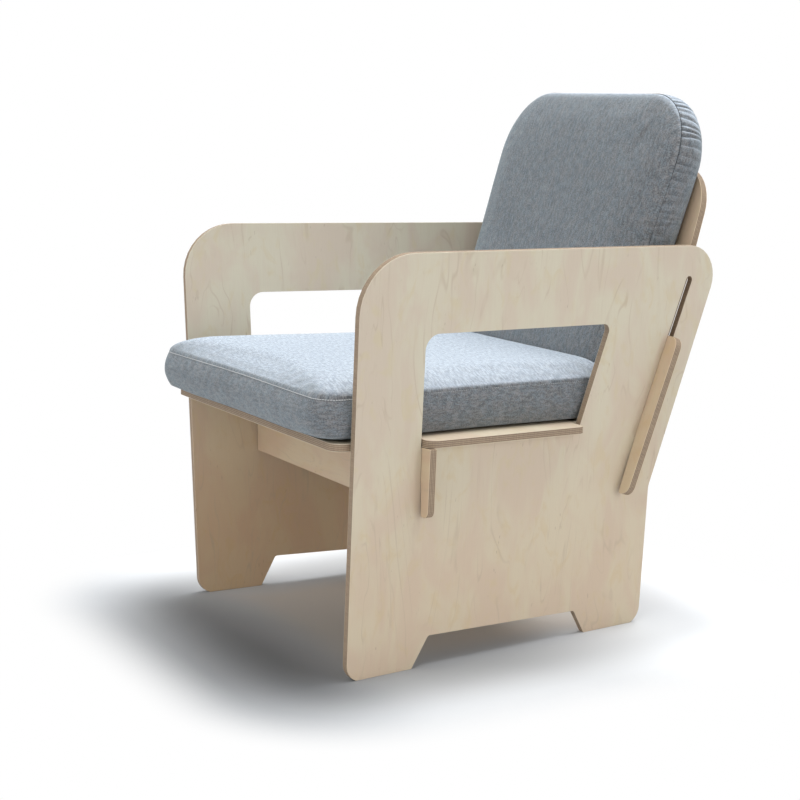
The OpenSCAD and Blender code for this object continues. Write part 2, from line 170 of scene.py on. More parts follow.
# Painted bounce light: between the panels the paper takes a warm tint, as light reflected from the
# birch, and a slightly cool one further out
past = add_node(tree, "ShaderNodeSeparateXYZ", {0: past}).outputs
near = span(tree, math_node(tree, "MAXIMUM", past["X"], past["Y"]), 0.0, -0.09)
painted_bounce_tint = mix(tree, near, (0.96, 0.995, 1.035), (1.01, 0.97, 0.92))
painted_shade_paper = add_node(tree, "ShaderNodeBsdfDiffuse", {"Color": mix(tree, 1.0, tone, painted_bounce_tint, "MULTIPLY")})
white = add_node(tree, "ShaderNodeEmission", {"Color": (1.0, 1.0, 1.0, 1.0), "Strength": 1.0})
faded = add_node(tree, "ShaderNodeMixShader", {0: fade, 1: painted_shade_paper.outputs[0], 2: white.outputs[0]})
matt = add_node(tree, "ShaderNodeBsdfDiffuse", {"Color": (0.62, 0.62, 0.63, 1.0)})
show(tree, add_node(tree, "ShaderNodeMixShader", {0: seen_directly(tree), 1: matt.outputs[0],
                                                  2: faded.outputs[0]}))
floor.data.materials.append(paper)


# Side panels: each one is a single sheet of 12 mm birch plywood, cut to arm, post, rear post and
# feet in one outline, with its arrises eased and a clear matt lacquer. They splay and toe in.
ply = 0.012
panel_edge_y = -0.33354
splay, toe_in, fall, recline = (math.radians(a) for a in (4.3, 3.9, 1.65, 19.0))


def new_group(name, takes, gives):
    """A node group with inputs and outputs of those names and kinds, and its input sockets."""
    group = bpy.data.node_groups.new(name, "ShaderNodeTree")
    for direction, sockets in (("INPUT", takes), ("OUTPUT", gives)):
        for socket, kind in sockets.items():
            group.interface.new_socket(socket, in_out=direction, socket_type="NodeSocket" + kind)
    return group, add_node(group, "NodeGroupInput").outputs


def noise(tree, place, stretch, detail, distortion, rough):
    """A noise whose place is multiplied by a number for each axis."""
    return add_node(tree, "ShaderNodeTexNoise", {
        "Vector": vector_node(tree, "MULTIPLY", place, stretch), "Scale": 1.0, "Detail": detail,
        "Roughness": rough, "Distortion": distortion}).outputs["Fac"]


def bumped(tree, height, strength, depth):
    """A surface's normal, raised by a height."""
    return add_node(tree, "ShaderNodeBump", {"Height": height, "Strength": strength,
                                             "Distance": depth}).outputs[0]


def birch_ply_group():
    """Birch plywood. Place is in metres, with X from one face (0) through the board, Z along the
    face grain and Y across it. The face veneer has mottled cream tones, faint figure lines that
    are the contours of a stretched noise, fine fibres and short dark flecks. The edge shows nine
    plies by their depth, light and dark in turn, with dark glue lines and end-grain specks."""
    group, inputs = new_group(
        "birch_ply", {"Place": "Vector", "Sheet": "Float", "WarmShade": "Float"},
        {"Color": "Color", "Roughness": "Float", "Height": "Float"})
    axes = add_node(group, "ShaderNodeSeparateXYZ", {0: inputs["Place"]}).outputs
    depth = math_node(group, "ABSOLUTE", axes["X"])
    side = math_node(group, "MULTIPLY_ADD", depth, 50.0, inputs["Sheet"])
    sheet = add_node(group, "ShaderNodeCombineXYZ", {"X": side, "Y": axes["Y"],
                                                     "Z": axes["Z"]}).outputs[0]

    def marks(across, along, detail=2.0, distortion=0.0):
        return noise(group, sheet, (1.0, across, along), detail, distortion, 0.55)

    # Broad tones of the veneer, yellower or pinker, and warmer in random patches where the log was
    # darker
    tone = mix(group, span(group, marks(13.0, 6.0, 3.0, 0.8), 0.38, 0.62), (0.672, 0.620, 0.486),
               (0.652, 0.560, 0.448))
    stain = span(group, marks(34.0, 19.0, 3.0, 1.2), 0.52, 0.72, 0.0, 0.7)
    tone = mix(group, stain, tone, (0.645, 0.560, 0.385))
    # Painted warm shade: this tint darkens the wood and turns it warmer, as shade lit by light
    # bounced off the birch
    tone = mix(group, inputs["WarmShade"], tone, (0.96, 0.79, 0.65), "MULTIPLY")
    # Figure: thin wandering contour lines that come and go
    contour = math_node(group, "MULTIPLY", marks(9.0, 2.0, 3.0, 0.9), 34.0)
    wave = math_node(group, "ABSOLUTE", math_node(group, "SINE", contour))
    line = math_node(group, "MULTIPLY", span(group, wave, 0.0, 0.30, 1.0, 0.0),
                     span(group, marks(21.0, 9.0), 0.42, 0.64, 0.03, 0.48))
    face = mix(group, line, tone, (0.515, 0.415, 0.300))
    fibre = marks(520.0, 22.0)
    face = mix(group, span(group, fibre, 0.35, 0.75, 0.0, 0.10), face, (0.520, 0.450, 0.340))
    fleck = math_node(group, "MULTIPLY", span(group, marks(260.0, 70.0, 1.0), 0.70, 0.77),
                      span(group, marks(24.0, 10.0, 1.0), 0.54, 0.66))
    face = mix(group, math_node(group, "MULTIPLY", fleck, 0.5), face, (0.36, 0.27, 0.18))

    # Edge: plies with their glue lines, each line a blend over a little of the thickness
    count, blur = 9, 0.018
    wander = math_node(group, "SUBTRACT", marks(60.0, 60.0), 0.5)
    wander = math_node(group, "MULTIPLY", wander, 0.035)
    ply_depth = math_node(group, "ADD", math_node(group, "DIVIDE", depth, ply), wander)
    plies = add_node(group, "ShaderNodeValToRGB", {0: ply_depth})
    light, dark, glue = (0.490, 0.385, 0.268), (0.285, 0.203, 0.136), (0.145, 0.098, 0.063)
    stops = [(0.0, light)]
    for k in range(1, count):
        before, after = (light, dark) if k % 2 else (dark, light)
        stops += [(k / count - blur, before), (k / count, glue), (k / count + blur, after)]
    stops.append((1.0, light))
    elements = plies.color_ramp.elements
    while len(elements) < len(stops):
        elements.new(0.5)
    for element, stop in zip(elements, stops):
        element.position = stop[0]
    for element, stop in zip(elements, stops):
        element.color = (*stop[1], 1.0)
    ends = marks(700.0, 700.0)
    edge = mix(group, span(group, ends, 0.3, 0.7, 0.0, 0.35), plies.outputs[0],
               (0.16, 0.11, 0.085))
    from_face = math_node(group, "MINIMUM", depth, math_node(group, "SUBTRACT", ply, depth))
    on_edge = span(group, from_face, 0.0006, 0.0012)
    grain = math_node(group, "MULTIPLY_ADD", fibre, 0.6, 0.5)
    add_node(group, "NodeGroupOutput", {
        "Color": mix(group, on_edge, face, edge),
        "Roughness": span(group, on_edge, 0.0, 1.0, 0.46, 0.68, "LINEAR"),
        "Height": mix(group, on_edge, grain, ends)})
    return group


birch_ply = birch_ply_group()


def ply_material(name, corner, through, grain, sheet, warm_shade=None):
    """Plywood whose pattern starts at a corner of the board's face, with unit vectors through the
    board and along its grain. Sheet picks another piece of veneer. The last value is painted warm
    shade: it darkens and warms it all, or, where it is left out, only the lower part of an upright
    panel, and more so on its inner face, where the seat and the other panel shade it."""
    through, grain = Vector(through).normalized(), Vector(grain).normalized()
    turned = Matrix((through, grain.cross(through), grain)).transposed().to_euler()
    material, tree = new_material(name)
    place = add_node(tree, "ShaderNodeTexCoord").outputs["Object"]
    local = add_node(tree, "ShaderNodeMapping", {"Vector": place, "Location": corner,
                                                 "Rotation": turned}, vector_type="TEXTURE")
    # Painted shade: unless a value is given, the panel is darker and warmer towards its foot, and
    # more so on its inner face, where the seat and the other panel shade it
    if warm_shade is None:
        axes = add_node(tree, "ShaderNodeSeparateXYZ", {0: local.outputs[0]}).outputs
        deep = math_node(tree, "ABSOLUTE", axes["X"])
        warm_shade = math_node(tree, "MULTIPLY", span(tree, axes["Z"], 0.20, -0.20),
                           span(tree, deep, 0.005, 0.007, 0.42, 1.0, "LINEAR"))
    wood = add_node(tree, "ShaderNodeGroup", {"Place": local.outputs[0], "Sheet": sheet,
                                              "WarmShade": warm_shade}, node_tree=birch_ply).outputs
    show(tree, add_node(tree, "ShaderNodeBsdfPrincipled", {
        "Base Color": wood["Color"], "Roughness": wood["Roughness"],
        "Normal": bumped(tree, wood["Height"], 0.35, 0.0003), "IOR": 1.45}))
    return material


def eased_board(name, node, body, material, width=0.0006):
    """A copy of a board's solid with its loose triangles merged into flat faces. A narrow bevel
    eases every arris, and the shallow steps of a rounded corner are shaded smooth."""
    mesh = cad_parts[node].data.copy()
    mesh.name = name
    form = bmesh.new()
    form.from_mesh(mesh)
    bmesh.ops.remove_doubles(form, verts=form.verts, dist=1e-5)
    bmesh.ops.dissolve_limit(form, angle_limit=math.radians(0.5), verts=form.verts,
                             edges=form.edges)
    form.to_mesh(mesh)
    form.free()
    mesh.shade_smooth()
    mesh.set_sharp_from_angle(angle=math.radians(25))
    mesh.materials.clear()
    mesh.materials.append(material)
    board = placed(name, mesh)
    ease = board.modifiers.new("eased_arrises", "BEVEL")
    ease.width = width
    ease.segments = 2
    ease.limit_method = "ANGLE"
    ease.angle_limit = math.radians(30)
    ease.use_clamp_overlap = False
    ease.harden_normals = True
    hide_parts(node)
    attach(board, body)
    return board


# Middle of a panel's outer face: out from the chair's middle, behind the front edge, and up
panel_out, panel_back, panel_up = 0.285, 0.283, 0.285
for name, side, sheet in (("left", 1, 3.1), ("right", -1, 7.7)):
    lean = Matrix.Rotation(side * toe_in, 3, "Z") @ Matrix.Rotation(side * splay, 3, "Y")
    outer_face = (side * panel_out, panel_edge_y + panel_back, panel_up)
    material = ply_material(name + "_panel_ply", outer_face, lean @ Vector((-side, 0, 0)),
                            lean @ Vector((0, 0, 1)), sheet)
    eased_board(name + "_side_board", name + "_side_panel", "frame", material)

# Front rail: a plywood board on edge under the seat's front, with its grain along its length. It
# drops into a notch in each panel, and its halved ends hook down outside them.
rail_face = (0.0, panel_edge_y + 0.1195, 0.30)
# The rail's plywood takes painted warm shade all over
eased_board("front_rail_board", "front_rail", "frame",
            ply_material("rail_ply", rail_face, (0, 1, 0), (1, 0, 0), 12.4, 0.7))

# Seat board: plywood, tipped back a little. A tab on each side lies on the lower edge of the arm
# window and shows outside the panel.
seat_h, seat_play = 0.3568, 0.0003
seat_up = Vector((0.0, math.sin(fall), math.cos(fall)))
seat_face = Vector((0.0, panel_edge_y, seat_h)) + seat_up * seat_play
# The seat board's plywood takes a little painted warm shade all over
eased_board("seat_board_ply", "seat_board", "seat_board",
            ply_material("seat_ply", seat_face, seat_up, (1, 0, 0), 21.9, 0.25))

# Back board: plywood with round top corners. Its ears pass through the long slots in the panels
# and hook down outside them. Above the ears its side edges close up on the panels.
back_y = 0.4262
back_face = Vector((0.0, panel_edge_y + back_y, 0.0))
back_slope = Vector((0.0, math.sin(recline), math.cos(recline)))
back_through = (0, math.cos(recline), -math.sin(recline))
# The back board's plywood takes painted warm shade all over
back_ply = eased_board("back_board_ply", "back_board", "back_board",
                       ply_material("back_ply", back_face, back_through, back_slope, 33.3, 0.7),
                       0.0003)
# Up the slope from the ears' tops to the taper, each side edge stands nearer its panel than the
# solid's does
ear_top, edge_start, taper_start, nearer = 0.514, 0.517, 0.62, 0.0013
points = np.empty(len(back_ply.data.vertices) * 3)
back_ply.data.vertices.foreach_get("co", points)
up_slope = (points.reshape(-1, 3) - back_face) @ back_slope
share = np.clip((up_slope - ear_top) / (edge_start - ear_top), 0, 1) * (up_slope < taper_start)
points[::3] += np.copysign(nearer * share, points[::3])
back_ply.data.vertices.foreach_set("co", points)

# Seat cushion: a boxed cushion on the seat board. Its cover of blue-grey chenille has a crowned
# top sewn to a side strip with a line of pale stitches, over wadding and a block of foam.
seat_frame = Matrix(((1, 0, 0, 0), (0, math.cos(fall), math.sin(fall), panel_edge_y),
                     (0, -math.sin(fall), math.cos(fall), seat_h), (0, 0, 0, 1)))


def arc_points(before, corner, after, turns):
    """Points at shares of the turn of the arc that rounds a corner, and their directions from its
    centre. The centre lies on the corner's bisector, at its radius from both sides."""
    b, radius = np.array(corner[:2]), corner[2]
    u, w = (np.array(p[:2]) - b for p in (before, after))
    u, w = u / np.linalg.norm(u), w / np.linalg.norm(w)
    half = math.acos(u @ w) / 2
    middle = b + (u + w) / np.linalg.norm(u + w) * radius / math.sin(half)
    first = b + u * radius / math.tan(half) - middle
    angle = math.atan2(first[1], first[0]) + turns * (math.pi - 2 * half)
    ways = np.stack([np.cos(angle), np.sin(angle)], axis=1)
    return middle + radius * ways, ways


def seam_side(corners, k, shares):
    """One side of the seam outline, from the middle of one rounded corner to the middle of the
    next, at shares of its length, with the outward direction and the distance from its start.
    Between the corners it is drawn in by the corner's last value times a squared sine."""
    around = [corners[(k + i) % 4] for i in (-1, 0, 1, 2)]
    start, start_way = arc_points(*around[:3], np.linspace(0.5, 1, 24))
    end, end_way = arc_points(*around[1:], np.linspace(0, 0.5, 24))
    t = np.linspace(0, 1, 80)[1:-1, None]
    p, q = start[-1], end[0]
    out = np.array([q[1] - p[1], p[0] - q[0]]) / np.linalg.norm(q - p)
    straight = p + (q - p) * t - out * around[1][3] * np.sin(np.pi * t) ** 2
    points = np.concatenate([start, straight, end])
    ways = np.concatenate([start_way, np.tile(out, (len(t), 1)), end_way])
    length = np.concatenate([[0], np.cumsum(np.linalg.norm(np.diff(points, axis=0), axis=1))])
    at = shares * length[-1]
    line = np.stack([np.interp(at, length, points[:, c]) for c in (0, 1)], axis=1)
    way = np.stack([np.interp(at, length, ways[:, c]) for c in (0, 1)], axis=1)
    return line, way / np.linalg.norm(way, axis=1, keepdims=True), at


def blended_grid(rim, wide, tall):
    """A grid of points between the four sides of a closed rim (a Coons patch): the blend of each
    pair of opposite sides, added up, less the blend of the four corners."""
    low, right = rim[:wide], rim[wide - 1:wide + tall - 1]
    high = rim[wide + tall - 2:2 * wide + tall - 2][::-1]
    left = np.concatenate([rim[2 * wide + tall - 3:], rim[:1]])[::-1]

    def shares(line):
        step = np.linalg.norm(np.diff(line, axis=0), axis=1)
        return np.concatenate([[0], np.cumsum(step)]) / step.sum()

    u, v = shares(low)[None, :, None], shares(right)[:, None, None]
    return ((1 - v) * low[None] + v * high[None] + (1 - u) * left[:, None] + u * right[:, None]
            - (1 - u) * (1 - v) * low[0] - u * (1 - v) * low[-1] - (1 - u) * v * high[0]
            - u * v * high[-1])


def grid_edge(grid):
    """What lies along the edge of a grid, in the order of the rim."""
    return np.concatenate([grid[0, :-1], grid[:-1, -1], grid[-1, :0:-1], grid[:0:-1, 0]])


def cushion_form(shape, across, along, rows):
    """A boxed cushion as arrays. The crown's height is the root of one less an even power of a
    point's share of the outline's reach, seen from the middle. The side strip swells by a half
    sine between its seams, and its lower edge is tucked in along a fourth power."""
    corners, seam = shape["corners"], shape["seam"]
    places = (across, along, 1 - across[::-1], 1 - along[::-1])
    sides = [seam_side(corners, k, at) for k, at in enumerate(places)]
    rim = np.concatenate([side[0][:-1] for side in sides])
    way = np.concatenate([side[1][:-1] for side in sides])
    starts = np.cumsum([0] + [side[2][-1] for side in sides])
    rim_at = np.concatenate([side[2][:-1] + starts[k] for k, side in enumerate(sides)])
    turn = np.concatenate([k + side[2][:-1] / side[2][-1] for k, side in enumerate(sides)])

    def round_rim(values, reach):
        """A value for each side, blended round the corners over that share of a side."""
        knots = np.concatenate([[k + reach, k + 1 - reach] for k in range(4)])
        return np.interp(turn, knots, np.repeat(values, 2), period=4)

    swell = round_rim(shape["swell"], 0.12)
    tuck = round_rim(shape["tuck"], 0.12)
    corner_knots = np.concatenate([[k, k + 0.2, k + 0.8] for k in range(4)])
    lift = np.interp(turn, corner_knots, np.concatenate([[v, 0, 0] for v in shape["lift"]]),
                     period=4)
    # Share of the full outline's reach in the same direction from the middle
    full = shape.get("full", corners)
    whole = np.concatenate([seam_side(full, k, np.linspace(0, 1, 200))[0] for k in range(4)])
    middle = np.array([0.0, (full[0][1] + full[2][1]) / 2])
    angle = np.arctan2(whole[:, 1] - middle[1], whole[:, 0])
    order = np.argsort(angle)
    wide, tall = len(across), len(along)
    flat = blended_grid(rim, wide, tall)
    here = flat - middle
    reach = np.interp(np.arctan2(here[..., 1], here[..., 0]), angle[order],
                      np.linalg.norm(whole - middle, axis=1)[order], period=2 * math.pi)
    share = np.clip(np.linalg.norm(here, axis=2) / reach, 0, 1)
    height = seam + shape["crown"] * np.sqrt(1 - share ** shape["power"])
    top = np.dstack([flat, height])
    rim_height = grid_edge(height)
    foot = shape["low"] + lift
    base_rim = np.column_stack([rim - way * tuck[:, None], foot])
    base = blended_grid(base_rim, wide, tall)
    flat_share = 0.86
    base[..., 2] *= np.clip((share - flat_share) / (1 - flat_share), 0, 1) ** 2
    base[0, :, 2] = base_rim[:wide, 2]
    base[-1, :, 2] = base_rim[wide + tall - 2:2 * wide + tall - 2, 2][::-1]
    base[:, -1, 2] = base_rim[wide - 1:wide + tall - 1, 2]
    base[:, 0, 2] = np.append(base_rim[2 * wide + tall - 3:, 2], base_rim[0, 2])[::-1]
    t = rows[1:-1, None]
    out = swell * np.sin(np.pi * t) - tuck * (1 - t) ** 4
    strip = np.dstack([rim + way * out[..., None], foot + (rim_height - foot) * t])
    form = {"top": top, "base": base, "strip": strip, "rim": rim, "way": way, "rim_at": rim_at,
            "turn": turn, "round": starts[-1], "rows": rows, "seam": seam}
    slope = shape.get("slope", 0.0)
    for points in (top, base, strip):
        # The lower end follows the slope of what it stands on
        low = np.clip((corners[2][1] - points[..., 1]) / (corners[2][1] - corners[0][1]), 0, 1)
        points[..., 1] -= low * slope * points[..., 2]
    return form


def ring_numbers(form):
    """Numbers of a cushion's vertices: its two grids, then its side strip. Returns the top grid's
    and the strip's rings with the base's and the top's edge at either end."""
    tall, wide = form["top"].shape[:2]
    grid = np.arange(tall * wide).reshape(tall, wide)
    edge = grid_edge(grid)
    rows = len(form["strip"])
    ring = 2 * grid.size + np.arange(rows * len(edge)).reshape(rows, len(edge))
    return grid, np.vstack([edge + grid.size, ring, edge])


def smooth_piece(name, points, corners, starts, cloth_map=None):
    """A smooth piece from its points, the point numbers of all its faces in one row, the place
    in that row where each face starts, and its map."""
    mesh = bpy.data.meshes.new(name)
    mesh.vertices.add(len(points))
    mesh.vertices.foreach_set("co", points.ravel())
    mesh.loops.add(len(corners))
    mesh.loops.foreach_set("vertex_index", corners)
    mesh.polygons.add(len(starts))
    mesh.polygons.foreach_set("loop_start", starts)
    mesh.polygons.foreach_set("use_smooth", np.ones(len(starts), dtype=bool))
    mesh.update(calc_edges=True)
    if cloth_map is not None:
        mesh.uv_layers.new(name="cloth_map").data.foreach_set("uv", cloth_map.ravel())
    mesh.validate()
    return placed(name, mesh)


def cushion_mesh(name, form):
    """A closed mesh from a cushion's arrays. The map is in metres: a face's own plan, or the
    height and the length round the rim on the side strip."""
    grid, rings = ring_numbers(form)
    points = np.concatenate([form[part].reshape(-1, 3) for part in ("top", "base", "strip")])
    quads = np.stack([grid[:-1, :-1], grid[:-1, 1:], grid[1:, 1:], grid[1:, :-1]], axis=2)
    quads = quads.reshape(-1, 4)
    after = np.roll(rings, -1, axis=1)
    walls = np.stack([rings[:-1], after[:-1], after[1:], rings[1:]], axis=2).reshape(-1, 4)
    faces = np.concatenate([quads, quads[:, ::-1] + grid.size, walls])
    plan = form["top"][..., :2].reshape(-1, 2)
    s = np.append(form["rim_at"], form["round"])
    h = form["seam"] * form["rows"]
    corner_s = np.stack([s[:-1], s[1:], s[1:], s[:-1]], axis=1)
    corner_h = np.stack([h[:-1], h[:-1], h[1:], h[1:]], axis=1)
    wall_map = np.stack([np.repeat(corner_h, rings.shape[1], axis=0),
                         np.tile(corner_s, (len(h) - 1, 1))], axis=2)
    base_off, strip_off = 3.0, (7.0, 0.0)
    cloth_map = np.concatenate([plan[quads], plan[quads[:, ::-1]] + base_off,
                                wall_map + strip_off])
    return smooth_piece(name, points, faces.ravel(), np.arange(0, faces.size, 4), cloth_map)


# Shares of a side at which the cloth simulation's coarse grid has its lines
coarse_at = np.linspace(0, 1, 76)


def blown_up(name, shape, slack, caps):
    """How far each point of a coarse copy of the cushion moves when its cover is blown up by a
    cloth simulation, with its seams held. Slack makes the cloth larger than the form by that
    share, so that it rumples. No point moves further than the cap of its part."""
    coarse = cushion_form(shape, coarse_at, coarse_at, np.linspace(0, 1, 10))
    pad = cushion_mesh(name, coarse)
    grid, rings = ring_numbers(coarse)
    held = pad.vertex_groups.new(name="held")
    base = np.arange(grid.size, 2 * grid.size)
    held.add(np.unique(np.concatenate([rings[0], rings[-1], base])).tolist(), 1.0, "REPLACE")
    cloth = pad.modifiers.new("blow_up", "CLOTH")
    cover = cloth.settings
    cover.quality = 6
    cover.mass = 0.25
    cover.tension_stiffness = cover.compression_stiffness = 18
    cover.shear_stiffness = 8
    cover.bending_stiffness = 3.0
    cover.use_pressure = True
    cover.uniform_pressure_force = 4.0
    cover.shrink_min = -slack
    cover.vertex_group_mass = "held"
    cover.effector_weights.gravity = 0.0
    cloth.collision_settings.use_collision = False
    start = np.empty(len(pad.data.vertices) * 3)
    pad.data.vertices.foreach_get("co", start)
    scene, steps = bpy.context.scene, 20
    cloth.point_cache.frame_start, cloth.point_cache.frame_end = 1, steps
    for step in range(1, steps + 1):
        scene.frame_set(step)
    blown = pad.evaluated_get(bpy.context.evaluated_depsgraph_get()).to_mesh()
    end = np.empty_like(start)
    blown.vertices.foreach_get("co", end)
    scene.frame_set(1)
    mesh = pad.data
    bpy.data.objects.remove(pad)
    bpy.data.meshes.remove(mesh)
    moved = (end - start).reshape(-1, 3)
    far = np.linalg.norm(moved, axis=1, keepdims=True)
    parts, first = {}, 0
    for part, cap in (("top", caps[0]), ("base", caps[0]), ("strip", caps[1])):
        last = first + coarse[part].size // 3
        held_in = cap * np.tanh(far[first:last] / cap) / np.maximum(far[first:last], 1e-9)
        parts[part] = (moved[first:last] * held_in).reshape(coarse[part].shape)
        first = last
    return coarse, parts


def carried(values, axis, old, new):
    """Values on one axis of an array, carried from old to new places by cubic interpolation."""
    values = np.moveaxis(values, axis, 0)
    k = np.clip(np.searchsorted(old, new, side="right") - 1, 0, len(old) - 2)
    t = ((new - old[k]) / (old[k + 1] - old[k])).reshape((-1,) + (1,) * (values.ndim - 1))
    p0, p1 = values[np.maximum(k - 1, 0)], values[k]
    p2, p3 = values[k + 1], values[np.minimum(k + 2, len(old) - 1)]
    result = p1 + 0.5 * t * (p2 - p0 + t * (2 * p0 - 5 * p1 + 4 * p2 - p3
                                            + t * (3 * (p1 - p2) + p3 - p0)))
    return np.moveaxis(result, 0, axis)


def swollen(name, shape, across, along, rows, slack, caps):
    """The cushion's fine arrays, moved as its coarse copy moved when it was blown up, and the
    coarse arrays."""
    coarse, moved = blown_up(name, shape, slack, caps)
    fine = cushion_form(shape, across, along, rows)
    fine["top"] += carried(carried(moved["top"], 1, coarse_at, across), 0, coarse_at, along)
    # The held edges of the strip don't move
    ends = np.zeros_like(moved["strip"][:1])
    side = np.concatenate([ends, moved["strip"], ends])
    side = np.concatenate([side, side[:, :1]], axis=1)
    side = carried(side, 0, coarse["rows"], rows)[1:-1]
    fine["strip"] += carried(side, 1, np.append(coarse["turn"], 4.0), fine["turn"])
    for part in ("top", "strip"):
        coarse[part] = coarse[part] + moved[part]
    return fine, coarse


def graded(length, step, near, reach=0.0):
    """Shares of a side's length, in steps of step, with short steps beside each end and fine ones
    over a reach from the far end, or from both where reach is negative."""
    fine = 0.002
    begin = np.concatenate([[0], np.cumsum(near)])
    finish = length - begin[::-1]
    low = begin[-1] + (-reach if reach < 0 else 0.0)
    high = finish[0] - abs(reach)
    parts = [begin]
    if reach < 0:
        parts.append(np.linspace(begin[-1], low, int(-reach / fine) + 1)[1:])
    parts.append(np.linspace(low, high, int((high - low) / step) + 1)[1:])
    if reach:
        parts.append(np.linspace(high, finish[0], int(abs(reach) / fine) + 1)[1:])
    parts.append(finish[1:])
    return np.concatenate(parts) / length


def sewn(form, depth, width, ring):
    """Draws a cushion's seam in by a groove with a Gaussian section. Ring gives the steps between
    the top grid's outer lines, from the seam inward."""
    tall, wide = (np.arange(count) for count in form["top"].shape[:2])
    index = np.minimum.reduce(np.broadcast_arrays(tall[:, None], tall[::-1, None], wide[None],
                                                  wide[None, ::-1]))
    away = np.concatenate([[0], np.cumsum(ring), [1]])[np.minimum(index, len(ring) + 1)]
    form["top"][..., 2] -= depth * 0.8 * np.exp(-(away / width) ** 2)
    height = form["seam"] * (1 - form["rows"][1:-1])
    inward = depth * np.exp(-(height / width) ** 2)
    form["strip"][..., :2] -= form["way"][None] * inward[:, None, None]


seam_steps = (0.0013, 0.0015, 0.0022, 0.004)
seat_shape = {
    "corners": [(-0.2990, -0.0530, 0.036, 0.005), (0.2965, -0.046, 0.038, 0.005),
                (0.2546, 0.5416, 0.030, 0.0), (-0.2546, 0.5416, 0.030, 0.005)],
    "seam": 0.065, "crown": 0.026, "power": 8, "low": 0.005, "swell": (0.010, 0.004, 0.002, 0.004),
    "tuck": (0.003, 0.002, 0.002, 0.002), "lift": (0.003, 0.005, 0.001, 0.001)}
strip_rows = np.concatenate([[0, 0.03, 0.08], np.linspace(0.15, 0.86, 11), [0.93, 0.96, 0.98, 1]])
seat_form, seat_coarse = swollen("seat_blow_up", seat_shape, graded(0.57, 0.005, seam_steps),
                                 graded(0.585, 0.005, seam_steps), strip_rows, 0.006,
                                 (0.004, 0.0007))
# The back cushion presses the top down a little behind a line, and the step in front of it is soft
pressed_h, pressed_y, soft_step = 0.0866, 0.484, 0.012
for top in (seat_form["top"], seat_coarse["top"]):
    step = np.clip((pressed_y - top[..., 1]) / soft_step, 0, 1)
    top[..., 2] = np.minimum(top[..., 2], pressed_h + 0.02 * step ** 2 * (3 - 2 * step))
sewn(seat_form, 0.0006, 0.0019, seam_steps)
seat_pad = cushion_mesh("seat_cushion_cover", seat_form)
seat_place = seat_frame @ Matrix.Translation((0, 0, ply + 0.0007))
seat_pad.data.transform(seat_place)


def weighted(tree, first, share, second, other_share):
    """The sum of two numbers, each times its share."""
    return math_node(tree, "MULTIPLY_ADD", first, share,
                     math_node(tree, "MULTIPLY", second, other_share))


def chenille_group():
    """Woven chenille. Place is in metres on the cloth, with X across the yarns and Y along them.
    The yarns are 2 mm ribs with a short pile: a sine across, bent by noise. Their colour varies
    in fine speckles, in streaks along the yarn and in broad faint patches."""
    group, inputs = new_group("chenille_cloth", {"Place": "Vector"},
                              {"Color": "Color", "SheenColour": "Color", "Height": "Float"})

    def marks(across, along, detail=2.0, distortion=0.0):
        return noise(group, inputs["Place"], (across, along, 1.0), detail, distortion, 0.6)

    speckle = marks(560.0, 400.0)
    shade = weighted(group, marks(230.0, 80.0, 3.0, 0.3), 0.7, speckle, 0.9)
    shade = math_node(group, "MULTIPLY_ADD", marks(26.0, 14.0, 3.0, 0.6), 0.2, shade)
    melange = mix(group, span(group, shade, 0.70, 1.10), (0.108, 0.117, 0.126),
                  (0.260, 0.277, 0.290))
    hue = weighted(group, marks(70.0, 42.0), 0.5, marks(300.0, 150.0), 0.5)
    hue = mix(group, span(group, hue, 0.42, 0.58), (0.96, 1.0, 1.04), (1.06, 0.99, 0.96))
    # A paler blue-grey, which the material paints in as sheen and top light
    clump = weighted(group, marks(80.0, 330.0), 1.2, marks(250.0, 190.0, 3.0), 0.6)
    sheen_colour = mix(group, span(group, clump, 0.70, 1.10), (0.43, 0.50, 0.61), (0.76, 0.84, 0.94))
    across = add_node(group, "ShaderNodeSeparateXYZ", {0: inputs["Place"]}).outputs["X"]
    bend = math_node(group, "MULTIPLY", marks(150.0, 60.0), 5.0)
    yarn_rate = 3141.6  # Radians per metre across, for 2 mm ribs
    yarn = math_node(group, "MULTIPLY_ADD", across, yarn_rate, bend)
    add_node(group, "NodeGroupOutput", {
        "Color": mix(group, 1.0, melange, hue, "MULTIPLY"), "SheenColour": sheen_colour,
        "Height": weighted(group, math_node(group, "SINE", yarn), 0.22, speckle, 1.6)})
    return group


chenille, tree = new_material("chenille")
cloth_place = add_node(tree, "ShaderNodeUVMap", uv_map="cloth_map").outputs[0]
cloth = add_node(tree, "ShaderNodeGroup", {"Place": cloth_place},
                 node_tree=chenille_group()).outputs
pile = bumped(tree, cloth["Height"], 0.6, 0.0012)
# Painted sheen and painted top light: the cloth is mixed to a paler colour where it is seen at a
# low angle, as sheen, and on faces that look up or to the rear, towards the lamp above and behind
# the chair
glancing = add_node(tree, "ShaderNodeLayerWeight", {"Blend": 0.5, "Normal": pile})
painted_sheen = span(tree, glancing.outputs["Facing"], 0.45, 0.74, 0.45)
facing = add_node(tree, "ShaderNodeTexCoord").outputs["Normal"]
lit_way = (0.0, 0.40, 0.917)
painted_top_light = span(tree, vector_node(tree, "DOT_PRODUCT", facing, lit_way), 0.30, 0.88)
painted_sheen_and_light = math_node(tree, "MULTIPLY", painted_sheen, painted_top_light)
show(tree, add_node(tree, "ShaderNodeBsdfPrincipled", {
    "Base Color": mix(tree, painted_sheen_and_light, cloth["Color"], cloth["SheenColour"]), "Roughness": 0.95,
    "Normal": pile, "Specular IOR Level": 0.15, "Sheen Weight": 0.5, "Sheen Roughness": 0.55,
    "Sheen Tint": (0.76, 0.91, 1.0, 1.0)}))
seat_pad.data.materials.append(chenille)
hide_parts("seat_cover")
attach(seat_pad, "seat_cushion")


